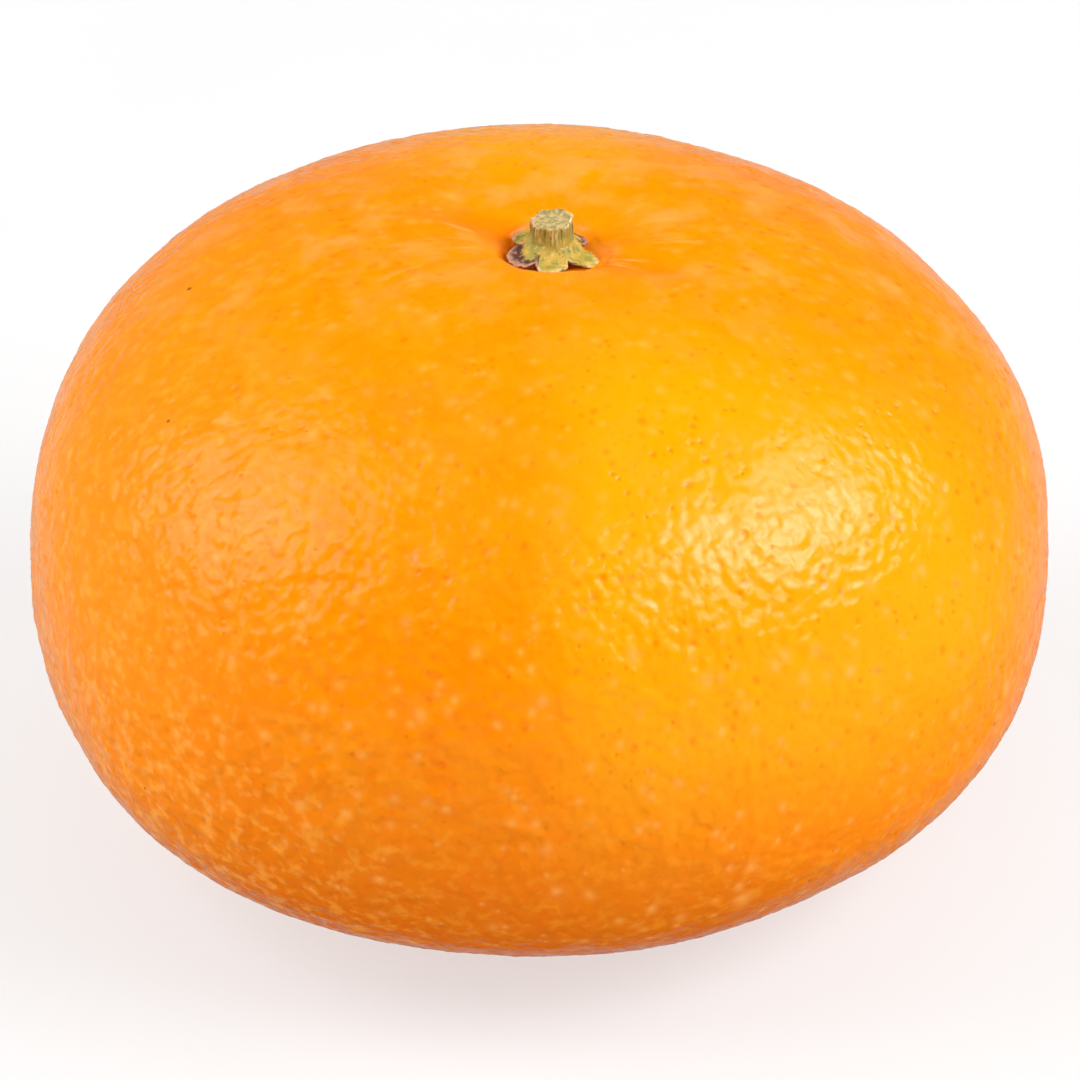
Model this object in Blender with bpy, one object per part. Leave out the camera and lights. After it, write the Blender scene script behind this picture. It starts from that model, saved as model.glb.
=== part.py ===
"""A whole mandarin, as picked: a broad flat fruit with pitted peel, the star of five
sepals that sits in its hollow, and the short cut stub of its stem.

Metres, +Z up. The fruit rests on z = 0 on a small flat spot, stem end up, and the
middle of its outline is on the Z axis.
"""

import math

import bpy
import numpy as np
from mathutils.geometry import delaunay_2d_cdt

# The fruit's form, measured from the middle of its widest ring
HALF_WIDTH = 0.0350
CROWN_HEIGHT = 0.0252
BASE_DEPTH = 0.0210
CROWN_POWER = 2.42
BASE_POWER = 2.60
SEAT_DEPTH = 0.0208

# How far the widest ring is from a circle, as shares of the half width
LEAN = -0.0098
LOW_LEAN = 0.0033
OVAL = 0.0159
THREE_SIDED = 0.0115

# Soft lumps of the peel, and the faint flutes over the segments inside
LUMP_SEED = 41
LUMP_COUNT = 14
LUMP_HEIGHT = 0.00010
LUMP_WAVES = (4.0, 13.0)
FLUTE_COUNT = 10
FLUTE_DEPTH = 0.00010
FLUTE_PHASE = math.radians(-84)

# Hollow at the stem end: a wide dip, and a pit with steep sides that the peel grew round the sepals
BUTTON_X = 0.0009
BUTTON_Y = 0.0015
DIP_RADIUS = 0.0080
DIP_DEPTH = 0.0013
PIT_RADIUS = 0.0031
PIT_ROOM = 0.00035
PIT_SLOPE = 0.00022
PIT_DEPTH = 0.0016

# Furrows that run out from the pit: angle in degrees, depth, reach from the middle, and width
FURROWS = (
    (-158, 0.00010, 0.0120, 0.0013), (-118, 0.00006, 0.0100, 0.0016), (-84, 0.00005, 0.0140, 0.0018),
    (-55, 0.00008, 0.0105, 0.0013), (-27, 0.00034, 0.0130, 0.0015), (14, 0.00008, 0.0120, 0.0014),
    (60, 0.00010, 0.0130, 0.0016), (104, 0.00007, 0.0125, 0.0017), (151, 0.00034, 0.0130, 0.0016),
    (176, 0.00012, 0.0140, 0.0012),
)

# Scar of the flower at the blossom end, inside the flat spot
SCAR_RADIUS = 0.0032
SCAR_DEPTH = 0.0009

# Peel surface: net of points, and the pits of its oil glands, larger than life
SKIN_POINTS = 5300
SKIN_SEED = 7
TRIES_PER_POINT = 30
EVENING_ROUNDS = 12
CLOSE_RADIUS = 0.0052
OPEN_SHARE = 0.09
PORE_DEPTH = 0.00042
PORE_DEPTH_SHARES = (0.75, 1.25)
PORE_DRAW_IN = 0.25
PORE_FREE_RADIUS = 0.0050
PORE_FREE_HEIGHT = 0.0006

# Sepals: angle, reach, half spread in degrees, bluntness, and rise of the tip
SEPALS = (
    (-90, 0.00335, 31, 3.2, -0.00012),
    (-36, 0.00385, 33, 1.6, -0.00020),
    (18, 0.00255, 24, 1.8, 0.00008),
    (150, 0.00290, 36, 2.2, 0.00015),
    (220, 0.00350, 35, 2.6, -0.00008),
)
SEPAL_SIDES = 90
SEPAL_RINGS = (0.16, 0.34, 0.52, 0.70, 0.86, 1.0)
SEPAL_THICKNESS = 0.0006
HUB_SINK = 0.0008
HUB_RADIUS = 0.0019
HUB_TOP = 0.02393
HUB_DOME = 0.00016

# Stub of the stem; its cut face starts inside the rim, where the ridges die out
STEM_RADIUS = 0.00143
STEM_FOOT_RADIUS = 0.00160
STEM_FOOT = 0.02420
STEM_TOP = 0.02590
STEM_RIDGES = 7
STEM_RIDGE_HEIGHT = 0.00010
STEM_SIDES = 28
STEM_LEVELS = 7
STEM_CUT_DISH = 0.00018
STEM_CUT_SLANT = 0.00012
STEM_CUT_RINGS = ((0.85, 0.0, 0.5), (0.75, 1.0, 0.3), (0.40, 1.0, 0.0))

# Colour and roughness of each piece
PEEL_LOOK = ((1.0, 0.30, 0.006, 1.0), 0.30)
SEPAL_LOOK = ((0.40, 0.30, 0.05, 1.0), 0.75)
STEM_LOOK = ((0.36, 0.28, 0.07, 1.0), 0.80)


def clear_scene():
    for thing in list(bpy.data.objects):
        bpy.data.objects.remove(thing, do_unlink=True)


def make_material(name, look):
    colour, roughness = look
    material = bpy.data.materials.new(name)
    material.use_nodes = True
    shader = material.node_tree.nodes["Principled BSDF"]
    shader.inputs["Base Color"].default_value = colour
    shader.inputs["Roughness"].default_value = roughness
    shader.inputs["Metallic"].default_value = 0.0
    return material


def make_object(name, points, faces, material, parent):
    mesh = bpy.data.meshes.new(name)
    mesh.from_pydata([tuple(point) for point in points], [], [tuple(map(int, face)) for face in faces])
    mesh.materials.append(material)
    mesh.update()
    mesh.shade_smooth()
    thing = bpy.data.objects.new(name, mesh)
    bpy.context.scene.collection.objects.link(thing)
    thing.parent = parent
    return thing


def round_form(directions):
    """Points of the plain round form along unit directions from the middle of the widest ring."""
    across = np.hypot(directions[:, 0], directions[:, 1])
    rise = directions[:, 2]
    turn = np.arctan2(directions[:, 1], directions[:, 0])
    height = np.where(rise > 0, CROWN_HEIGHT, BASE_DEPTH)
    power = np.where(rise > 0, CROWN_POWER, BASE_POWER)
    reach = ((across / HALF_WIDTH) ** power + (np.abs(rise) / height) ** power) ** (-1 / power)
    side = (LEAN - LOW_LEAN * rise) * np.cos(turn) + OVAL * np.cos(2 * turn) + THREE_SIDED * np.cos(3 * turn)
    points = directions * reach[:, None]
    points[:, :2] *= (1 + side * across ** 2)[:, None]
    return points


def lumps(directions):
    """Low swells of the peel, and the flutes, as heights along the directions."""
    draw = np.random.default_rng(LUMP_SEED)
    height = np.zeros(len(directions))
    for _ in range(LUMP_COUNT):
        wave = draw.normal(size=3)
        wave *= draw.uniform(*LUMP_WAVES) / np.linalg.norm(wave)
        swell = np.sin(directions @ wave + draw.uniform(0, math.tau))
        height += LUMP_HEIGHT * swell / math.sqrt(LUMP_COUNT / 2)
    turn = np.arctan2(directions[:, 1], directions[:, 0])
    across = np.hypot(directions[:, 0], directions[:, 1])
    return height + FLUTE_DEPTH * across ** 2 * (np.abs(np.sin((turn - FLUTE_PHASE) * FLUTE_COUNT / 2)) - 0.5)


def pit_edge(turn):
    """Radius of the pit at angles round the button: it bulges out round each sepal."""
    edge = np.full_like(turn, PIT_RADIUS)
    for angle, reach, spread, blunt, lift in SEPALS:
        off = ((turn - math.radians(angle) + math.pi) % math.tau - math.pi) / math.radians(spread)
        edge = np.maximum(edge, PIT_RADIUS + (reach + PIT_ROOM - PIT_RADIUS) * np.exp(-off ** 4))
    return edge


def stem_hollow(east, north):
    """Depth of the dip, the pit and the furrows at places measured from the button."""
    away = np.hypot(east, north)
    turn = np.arctan2(north, east)
    past_pit = away - pit_edge(turn)
    depth = DIP_DEPTH * np.exp(-(away / DIP_RADIUS) ** 2)
    depth += PIT_DEPTH / (1 + np.exp(past_pit / PIT_SLOPE))
    for angle, deep, reach, width in FURROWS:
        off = turn - math.radians(angle)
        beside = np.where(np.cos(off) > 0, away * np.sin(off), away)
        along = np.clip((reach - away) / (reach - PIT_RADIUS), 0, 1) * (past_pit > 0)
        depth += deep * np.exp(-(beside / width) ** 2) * along * (2 - along)
    return depth


def skin(directions):
    """Points of the peel, without pores: flat spot on z = 0, stem end up."""
    points = round_form(directions) + directions * lumps(directions)[:, None]
    upper = directions[:, 2] > 0
    points[upper, 2] -= stem_hollow(points[upper, 0] - BUTTON_X, points[upper, 1] - BUTTON_Y)
    lower = ~upper
    away = np.hypot(points[lower, 0], points[lower, 1])
    points[lower, 2] += SCAR_DEPTH * np.exp(-(away / SCAR_RADIUS) ** 4)
    points[:, 2] = np.maximum(points[:, 2] + SEAT_DEPTH, 0)
    return points


def wrap(directions):
    """Triangles round all the directions. The last one is the bottom pole, which the rest unfolds from."""
    plane = [tuple(place) for place in directions[:-1, :2] / (1 + directions[:-1, 2:])]
    faces = [list(face) for face in delaunay_2d_cdt(plane, [], [], 0, 1e-9, True)[2]]
    edges = {(face[i], face[(i + 1) % 3]) for face in faces for i in range(3)}
    pole = len(directions) - 1
    faces += [[last, first, pole] for first, last in edges if (last, first) not in edges]
    return np.array(sorted(faces))


def scatter(count, seed):
    """Unit directions that spread evenly over the peel, closer together round the pit."""
    draw = np.random.default_rng(seed)
    tries = draw.normal(size=(count * TRIES_PER_POINT, 3))
    tries /= np.linalg.norm(tries, axis=1)[:, None]
    points = round_form(tries)
    weight = (points ** 2).sum(axis=1) / HALF_WIDTH ** 2
    away = np.hypot(points[:, 0] - BUTTON_X, points[:, 1] - BUTTON_Y)
    by_the_pit = (away < CLOSE_RADIUS) & (points[:, 2] > 0)
    weight = np.where(by_the_pit, 1, weight * OPEN_SHARE)
    kept = tries[draw.uniform(size=len(tries)) < weight][:count - 1]
    return np.vstack([kept, (0, 0, -1)])


def even_out(directions):
    """Moves each direction towards the middle of its neighbours, a few times over."""
    for _ in range(EVENING_ROUNDS):
        faces = wrap(directions)
        points = round_form(directions)
        middle = np.zeros_like(points)
        for i in range(3):
            np.add.at(middle, faces[:, i], points[faces[:, (i + 1) % 3]])
        middle /= np.linalg.norm(middle, axis=1)[:, None]
        directions = np.vstack([middle[:-1], directions[-1]])
    return directions


def find_neighbours(count, faces):
    neighbours = [set() for _ in range(count)]
    for first, second, third in faces:
        neighbours[first].update((second, third))
        neighbours[second].update((first, third))
        neighbours[third].update((first, second))
    return neighbours


def choose_pores(points, neighbours, draw):
    """Middles of pores. Their rings share no point, and none is in the pit or by the flat spot."""
    away = np.hypot(points[:, 0] - BUTTON_X, points[:, 1] - BUTTON_Y)
    taken = (points[:, 2] < PORE_FREE_HEIGHT) | ((away < PORE_FREE_RADIUS) & (points[:, 2] > SEAT_DEPTH))
    pores = []
    for i in draw.permutation(len(points)):
        ring = list(neighbours[i])
        if not taken[i] and not taken[ring].any():
            pores.append((i, ring))
            taken[i] = True
            taken[ring] = True
    return pores


def press_pores(points, pores, draw):
    """Sinks each pore's middle into the peel and draws its ring in towards it."""
    middle = np.array((0, 0, SEAT_DEPTH))
    pressed = points.copy()
    for i, ring in pores:
        inward = middle - points[i]
        inward /= np.linalg.norm(inward)
        pressed[i] += inward * PORE_DEPTH * draw.uniform(*PORE_DEPTH_SHARES)
        pressed[ring] += (points[i] - points[ring]) * PORE_DRAW_IN
    return pressed


def make_fruit(parent):
    directions = even_out(scatter(SKIN_POINTS, SKIN_SEED))
    points = skin(directions)
    faces = wrap(directions)
    draw = np.random.default_rng(SKIN_SEED + 1)
    pores = choose_pores(points, find_neighbours(len(points), faces), draw)
    points = press_pores(points, pores, draw)
    fruit = make_object("fruit", points, faces, make_material("peel", PEEL_LOOK), parent)
    return fruit, (points.min(axis=0) + points.max(axis=0)) / 2


def sepal_edge(turn):
    """Radius and rise of the sepals' edge at an angle round the stem."""
    edge = HUB_RADIUS
    rise = 0.0
    for angle, reach, spread, blunt, lift in SEPALS:
        off = abs((turn - math.radians(angle) + math.pi) % math.tau - math.pi) / math.radians(spread)
        if off < 1:
            lobe = (reach - HUB_RADIUS) * (1 - off ** blunt)
            edge = max(edge, HUB_RADIUS + lobe)
            rise += lift * (1 - off)
    return edge, rise


def make_sepals(parent):
    """One star, thin and slightly domed, with its lobes' tips bent as they dried."""
    points = [(0, 0, HUB_DOME)]
    under = [(0, 0, HUB_DOME - SEPAL_THICKNESS - HUB_SINK)]
    for share in SEPAL_RINGS:
        for i in range(SEPAL_SIDES):
            turn = math.tau * i / SEPAL_SIDES
            edge, rise = sepal_edge(turn)
            height = HUB_DOME * (1 - share ** 2) + rise * share ** 2
            east, north = edge * share * math.cos(turn), edge * share * math.sin(turn)
            sink = HUB_SINK * max(0, 1 - (edge * share / HUB_RADIUS) ** 4)
            points.append((east, north, height))
            under.append((east, north, height - SEPAL_THICKNESS - sink))
    top_count = len(points)
    points += under
    faces = []
    for i in range(SEPAL_SIDES):
        j = (i + 1) % SEPAL_SIDES
        faces += [(0, 1 + i, 1 + j), (top_count, top_count + 1 + j, top_count + 1 + i)]
        for ring in range(len(SEPAL_RINGS) - 1):
            a = 1 + ring * SEPAL_SIDES
            b = a + SEPAL_SIDES
            faces += [(a + i, b + i, b + j), (a + i, b + j, a + j)]
            faces += [(top_count + a + i, top_count + b + j, top_count + b + i)]
            faces += [(top_count + a + i, top_count + a + j, top_count + b + j)]
        rim = 1 + (len(SEPAL_RINGS) - 1) * SEPAL_SIDES
        below = top_count + rim
        faces += [(rim + i, below + i, below + j), (rim + i, below + j, rim + j)]
    return make_object("calyx", points, faces, make_material("calyx", SEPAL_LOOK), parent)


def stem_ring(radius, height, share):
    """One ring of the stub, ridged more towards the cut."""
    ring = []
    for i in range(STEM_SIDES):
        turn = math.tau * i / STEM_SIDES
        ridged = radius + STEM_RIDGE_HEIGHT * share * math.sin(STEM_RIDGES * turn)
        ring.append((ridged * math.cos(turn), ridged * math.sin(turn), height))
    return ring


def make_stem(parent):
    """Short stub that flares at the foot; its cut face is dished and a little slanted."""
    tall = STEM_TOP - STEM_FOOT
    rings = []
    for level in range(STEM_LEVELS):
        share = level / (STEM_LEVELS - 1)
        radius = STEM_RADIUS + (STEM_FOOT_RADIUS - STEM_RADIUS) * (1 - share) ** 3
        rings.append(stem_ring(radius, tall * share, share))
    for inward, sunk, ridged in STEM_CUT_RINGS:
        rings.append(stem_ring(STEM_RADIUS * inward, tall - STEM_CUT_DISH * sunk, ridged))
    points = [point for ring in rings for point in ring]
    points = [(x, y, z + STEM_CUT_SLANT * (x / STEM_RADIUS) * (z / tall)) for x, y, z in points]
    points += [(0, 0, 0), (0, 0, tall - STEM_CUT_DISH)]
    foot = len(points) - 2
    faces = []
    for i in range(STEM_SIDES):
        j = (i + 1) % STEM_SIDES
        faces.append((foot, j, i))
        for ring in range(len(rings) - 1):
            a = ring * STEM_SIDES
            b = a + STEM_SIDES
            faces += [(a + i, a + j, b + j), (a + i, b + j, b + i)]
        last = (len(rings) - 1) * STEM_SIDES
        faces.append((foot + 1, last + i, last + j))
    return make_object("stem", points, faces, make_material("stem", STEM_LOOK), parent)


def build():
    clear_scene()
    whole = bpy.data.objects.new("mandarin", None)
    bpy.context.scene.collection.objects.link(whole)
    fruit, middle = make_fruit(whole)
    fruit.location = (-middle[0], -middle[1], 0)
    button = (BUTTON_X - middle[0], BUTTON_Y - middle[1], SEAT_DEPTH)
    calyx = make_sepals(whole)
    calyx.location = (button[0], button[1], button[2] + HUB_TOP - HUB_DOME)
    stem = make_stem(whole)
    stem.location = (button[0], button[1], button[2] + STEM_FOOT)


build()
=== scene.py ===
"""Looks of a whole mandarin: the peel with its oil glands, the dried star of sepals in
the hollow, and the cut stub of the stem. Metres, +Z up, in the frame of the solids.
"""

import math

import bpy
import numpy as np
from mathutils import Matrix, Vector, noise
from mathutils.geometry import delaunay_2d_cdt


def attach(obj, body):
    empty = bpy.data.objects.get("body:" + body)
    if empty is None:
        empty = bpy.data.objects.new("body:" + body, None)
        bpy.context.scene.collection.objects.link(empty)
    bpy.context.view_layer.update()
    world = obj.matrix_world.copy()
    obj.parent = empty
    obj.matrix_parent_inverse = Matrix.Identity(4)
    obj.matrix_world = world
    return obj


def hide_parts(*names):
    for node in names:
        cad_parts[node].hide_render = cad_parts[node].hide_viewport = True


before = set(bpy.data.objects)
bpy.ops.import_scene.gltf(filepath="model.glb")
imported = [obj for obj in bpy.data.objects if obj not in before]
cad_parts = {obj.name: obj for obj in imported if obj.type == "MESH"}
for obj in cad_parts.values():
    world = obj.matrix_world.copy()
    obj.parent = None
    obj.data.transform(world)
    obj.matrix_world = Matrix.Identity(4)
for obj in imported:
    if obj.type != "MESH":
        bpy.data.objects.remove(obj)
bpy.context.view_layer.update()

# The fruit's form, measured from the middle of its widest ring, as in the solids
HALF_WIDTH = 0.0350
CROWN_HEIGHT = 0.0252
BASE_DEPTH = 0.0210
CROWN_POWER = 2.42
BASE_POWER = 2.60
SEAT_DEPTH = 0.0208
LEAN = -0.0098
LOW_LEAN = 0.0033
OVAL = 0.0159
THREE_SIDED = 0.0115

# Soft lumps of the peel, and the faint flutes over the segments inside
LUMP_SEED = 41
LUMP_COUNT = 14
LUMP_HEIGHT = 0.00010
LUMP_WAVES = (4.0, 13.0)
FLUTE_COUNT = 10
FLUTE_DEPTH = 0.00010
FLUTE_PHASE = math.radians(-84)

# Hollow at the stem end, and the furrows that run out from its pit
BUTTON_X = 0.0009
BUTTON_Y = 0.0015
DIP_RADIUS = 0.0080
DIP_DEPTH = 0.0013
PIT_RADIUS = 0.0031
PIT_ROOM = 0.00012
PIT_SLOPE = 0.00020
PIT_DEPTH = 0.0009
PIT_TILT = 0.35
FURROWS = (
    (-158, 0.00010, 0.0120, 0.0013), (-118, 0.00006, 0.0100, 0.0016), (-84, 0.00005, 0.0140, 0.0018),
    (-55, 0.00008, 0.0105, 0.0013), (-27, 0.00042, 0.0130, 0.0015), (14, 0.00008, 0.0120, 0.0014),
    (60, 0.00010, 0.0130, 0.0016), (104, 0.00007, 0.0125, 0.0017), (151, 0.00046, 0.0130, 0.0016),
    (176, 0.00012, 0.0140, 0.0012),
)
FURROW_FULL = 0.0003
SCAR_RADIUS = 0.0032
SCAR_DEPTH = 0.0009

# Oil glands: one cell of the peel's net for each
GLAND_COUNT = 26000
GLAND_SEED = 11
TRIES_PER_GLAND = 8
CLOSEST_PLACES = 1e-9
EVENING_ROUNDS = 9
CLOSE_RADIUS = 0.0062
CLOSE_SHARE = 0.33
SMOOTH_RADIUS = 0.0046
SEAT_EDGE = 1e-6
PIT_IN_GLAND = 0.00007
RIDGE_HEIGHT = 0.00003
UNEVEN_SIZES = ((0.0045, 0.00006), (0.0022, 0.00005), (0.0012, 0.00004))

# Depth of each gland as a share of the full one: the least, the range above it and its skew, and the big ones
GLAND_LEAST = 0.2
GLAND_ADDED = 0.7
GLAND_SKEW = 1.5
BIG_GLAND_SHARE = 0.08
BIG_GLAND_DEPTHS = (1.2, 1.7)

# Pale spots with a faint edge, which are paler glands with painted glints on them, and dark specks
SPOT_SHARE = 0.095
SPOT_STRENGTHS = (0.5, 1.0)
SPOT_EDGE = 0.25
SPECK_SHARE = 0.0006

# Distance from the button that stands for the whole lower half
FAR_AWAY = 0.05

# The wrinkled skin by the stem with painted sheen streaks on it, strongest at its sides, and the painted
# shade in the pit, strongest on the left
BY_STEM_FRONT = 0.3
BY_STEM_FULL = 1.5
BY_STEM_REACH = 0.013
BY_STEM_START = 0.0015
PIT_SHADE = 0.6
PIT_SHADE_LEFT = 0.4

# Sepals: angle, reach, half spread in degrees, bluntness, and rise of the tip, as in the solids
SEPALS = (
    (-90, 0.00335, 31, 3.2, -0.00012),
    (-36, 0.00385, 33, 1.6, -0.00020),
    (18, 0.00255, 24, 1.8, 0.00008),
    (150, 0.00290, 36, 2.2, 0.00015),
    (220, 0.00350, 35, 2.6, -0.00008),
)
HUB_RADIUS = 0.0019
HUB_TOP = 0.02393
HUB_DOME = 0.00016

# How each sepal dried: how far its sides curl up, how far it tips towards its left, how brown it is
SEPAL_CURLS = (-0.00010, 0.00016, 0.00020, 0.00022, 0.00060)
SEPAL_TIPS = (0.0, 0.00022, 0.0, 0.0, 0.00006)
SEPAL_BROWN = (0.10, 0.05, 0.75, 0.40, 0.95)
CURL_FADE = 5
BROWN_FADE = 4
CALYX_SIDES = 480
CALYX_RINGS = 46
CALYX_RING_POWER = 0.8
CALYX_THICKNESS = 0.00028
COLLAR_HEIGHT = 0.00072
COLLAR_POWER = 2.6
COLLAR_INNER = 0.00142
COLLAR_OUTER = 0.00275
LOBE_FULL = 0.0012
ROLL_START = 0.93
ROLL_WIDTH = 0.07
ROLL_SINK = 0.25
ROLL_THIN = 0.55
VEIN_DEPTH = 0.00006
CRUMPLE_SIZE = 0.0005
CRUMPLE_HEIGHT = 0.00008

# Layers of noise round the calyx: each one's strength, waves and row
RAGGED_EDGE = 0.00019
RAGGED_LAYERS = ((0.55, 7, 1.5), (0.45, 19, 4.5), (0.35, 44, 8.5))
VEIN_LAYERS = ((1.0, 11, 12.5), (0.5, 26, 15.5))

# Stub of the stem
STEM_RADIUS = 0.00143
STEM_FOOT_RADIUS = 0.00160
STEM_FOOT = 0.02420
STEM_TOP = 0.02590
STEM_FLARE = 0.00060
STEM_FLARE_END = 0.00045
STEM_RIDGES = 7
STEM_RIDGE_HEIGHT = 0.00010
STEM_RIDGE_SHARE = 0.6
STEM_RIDGE_FOOT = 0.35
STEM_WOBBLE = 0.00005
STEM_WOBBLE_WAVES = 3
STEM_WOBBLE_RISE = 2500
STEM_ROUND_START = 0.94
STEM_ROUND_WIDTH = 0.06
STEM_ROUNDING = 0.00007
STEM_RIM = 0.00022
STEM_RIM_START = 0.84
STEM_RIM_FRONT = 0.15
STEM_CUT_DISH = 0.00018
STEM_CUT_SLANT = 0.00012
STEM_CUT_EVENING = 0.2
STEM_GRAIN_SIZE = 0.00022
STEM_GRAIN_HEIGHT = 0.000035
STEM_GRAIN_ROW = 0.01
STEM_SIDES = 260
STEM_LEVELS = 70
STEM_CUT_RINGS = 34
STEM_ROOT = 0.0006

# Layers of noise round the stem, as for the calyx: its fibres, and the broken rim of its cut in metres
STEM_FIBRES = ((0.8, 8, 21.5), (0.5, 21, 24.5))
STEM_RIM_LAYERS = ((0.00016, 3, 27.5), (0.00010, 11, 30.5))

# The photograph's view: 1080 pixels across, middle of the widest ring at a column and row
FRAME_PIXELS = 1080
VIEW_RISE = math.radians(33)
VIEW_DISTANCE = 0.600
PIXELS_PER_METRE = 14300
MIDDLE_COLUMN = 539.0
MIDDLE_ROW = 548.4
SENSOR = 0.036

# Studio: the even fill from a white ceiling in watts a square metre, and the faint light from all round
FILL_LIGHT = 2.05
FLAG_LIGHT = 0.01

# The pale wall and ground behind the fruit: where the wall starts and is full along Y of the way looked,
# how high it reaches, how deep the ground does, and the light of each
WALL_START = 0.18
WALL_END = 0.98
WALL_TOP = 0.50
WALL_LIGHT = 0.15
GROUND_END = -0.40
GROUND_LIGHT = 0.42

# Softboxes: name, bearing and rise in degrees, width, height and watts. The sheen of each comes from a few
# lamps in one place, each with its size and its share of the watts, so that the edge of the sheen is soft
SOFTBOX_DISTANCE = 0.60
SOFTBOXES = (
    ("right softbox", 73, 40, 0.40, 0.30, 3.0),
    ("left softbox", -86, 38, 0.32, 0.46, 2.1),
)
SHEEN_GAIN = 2.6
SHEEN_SIZES = (0.50, 0.80, 1.12, 1.48)
SHEEN_SHARES = (0.15, 0.29, 0.35, 0.34)

# The pale floor: how far it reaches each way, its own glow, its darkest and lightest tone, and its grain
FLOOR_SIZE = 3.0
FLOOR_GLOW = 0.62
FLOOR_TONES = (0.24, 0.26)
FLOOR_ROUGHNESS = 0.9
FLOOR_GRAIN = 0.002
FLOOR_BUMP = 0.00001

# Colours of the peel, as linear red, green and blue
PEEL_ORANGE = (0.96, 0.215, 0.0002, 1)
# Yellow tone, which also paints light on the right, at the top and behind the stem
PEEL_YELLOW_AND_LIGHT = (0.97, 0.340, 0.0004, 1)
PEEL_FLECK = (0.98, 0.32, 0.001, 1)
# Painted shade: a darker, redder orange low on the fruit
PEEL_BASE_SHADE = (0.71, 0.138, 0.0003, 1)
PEEL_GLAND = (0.90, 0.165, 0.0003, 1)
# Painted sheen on the left rim
PEEL_LEFT_RIM_SHEEN = (0.98, 0.290, 0.010, 1)
# Mottled patches: the yellow ones are the peel's own tone, the peach ones low on the left are painted broken
# sheen
PEEL_PATCHES_AND_SHEEN = ((0.98, 0.37, 0.006, 1), (0.98, 0.35, 0.055, 1))
# Painted sheen in wide patches on the crown by the stem
PEEL_CROWN_SHEEN = (0.98, 0.36, 0.075, 1)
# Painted shade in the furrows
PEEL_FURROW_SHADE = (0.93, 0.19, 0.0003, 1)
# Painted sheen in streaks by the stem
PEEL_STREAK_SHEEN = (0.98, 0.37, 0.075, 1)
# Pale spots: paler glands with painted glints on them
PEEL_SPOT_AND_GLINT = (0.98, 0.40, 0.075, 1)
PEEL_SPECK = (0.14, 0.045, 0.012, 1)
# Painted shade in the pit round the button
PEEL_PIT_SHADE = (0.72, 0.10, 0.0008, 1)

# Where the peel's tones, painted light and painted shade fade along an axis: from one place to another, and
# the share at each
RIGHT_LIGHT_X = (-0.002, 0.007, 0.0, 0.86)
RIGHT_LIGHT_Y = (-0.022, -0.003, 1.0, 0.05)
RIGHT_LIGHT_Z = (0.014, 0.029, 0.30, 1.0)
TOP_LIGHT_Z = (0.002, 0.040, 0.0, 0.29)
BASE_SHADE_Z = (0.004, 0.028, 0.95, 0.0)
BASE_SHADE_X = (0.010, 0.030, 1.0, 0.3)
PATCH_Z = (0.014, 0.036, 0.55, 0.10)
PATCH_X = (-0.020, -0.002, 1.0, 0.30)
PATCH_LEFT_X = (-0.034, -0.012, 0.40, 0.14)
LEFT_RIM_SHEEN_X = (-0.037, -0.014, 0.70, 0.0)
CROWN_SHEEN_Z = (0.033, 0.040, 0.0, 0.52)
CROWN_SHEEN_Y = (-0.014, 0.004, 0.10, 1.0)
SPOT_AND_GLINT_Z = (0.028, 0.038, 0.72, 0.38)
LIGHT_BEHIND_STEM = (0.0, 0.019, 0.041)
LIGHT_BEHIND_STEM_REACH = 0.014

# Where the fine relief calms down: near the base, on the right, at the outer sides and on the crown
CALM_BASE_Z = (0.003, 0.022, 0.35, 1.0)
CALM_RIGHT_X = (-0.012, 0.012, 1.22, 0.86)
CALM_SIDES_X = (0.023, 0.034, 1.0, 0.45)
CALM_CROWN_Z = (0.0365, 0.0415, 1.0, 0.35)

# The fine relief's heights, and the gloss of the wax
SMALL_BUMP = 0.00023
SWELL_BUMP = 0.00027
GLAND_BUMP = 0.000030
WRINKLE_BUMP = 0.00010
WRINKLE_SPOKES = 13
WRINKLE_RISE = 330.0
PEEL_ROUGHNESS = (0.17, 0.22)
PEEL_SPECULAR = 0.3
PEEL_SPECULAR_TINT = (1.0, 0.74, 0.72, 1.0)
PEEL_UNDER_WEIGHT = 0.12
PEEL_UNDER_RADIUS = (1.0, 0.35, 0.1)
PEEL_UNDER_SCALE = 0.0012

# Colours of the sepals
SEPAL_TONES = ((0.31, 0.28, 0.040, 1), (0.56, 0.35, 0.05, 1))
SEPAL_FLECK = (0.68, 0.48, 0.13, 1)
SEPAL_SHADE = (0.16, 0.11, 0.022, 1)
SEPAL_EDGE = (0.78, 0.52, 0.24, 1)
SEPAL_SINGED = (0.12, 0.045, 0.022, 1)
SEPAL_BROWNS = ((0.085, 0.026, 0.018, 1), (0.36, 0.17, 0.10, 1))
SEPAL_BROWN_EDGE = (0.62, 0.33, 0.20, 1)
CALYX_ROUGHNESS = (0.62, 0.80)
CALYX_BUMP = 0.00005

# Colours of the stem
STEM_TONES = ((0.27, 0.235, 0.045, 1), (0.43, 0.30, 0.05, 1))
STEM_CREAM = (0.62, 0.47, 0.20, 1)
STEM_DARK = (0.075, 0.052, 0.018, 1)
STEM_LEFT_EDGE = (0.15, 0.070, 0.025, 1)
STEM_FOOT_TONES = ((0.30, 0.27, 0.04, 1), (0.50, 0.35, 0.06, 1))
STEM_CUT_TONES = ((0.31, 0.245, 0.085, 1), (0.56, 0.41, 0.17, 1))
STEM_CUT_GREEN = (0.26, 0.25, 0.07, 1)
STEM_RIM_TONES = ((0.68, 0.38, 0.21, 1), (0.76, 0.57, 0.28, 1))
STEM_ROUGHNESS = (0.70, 0.85)
STEM_BUMP = 0.00004
DRY_SPECULAR = 0.25


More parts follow.
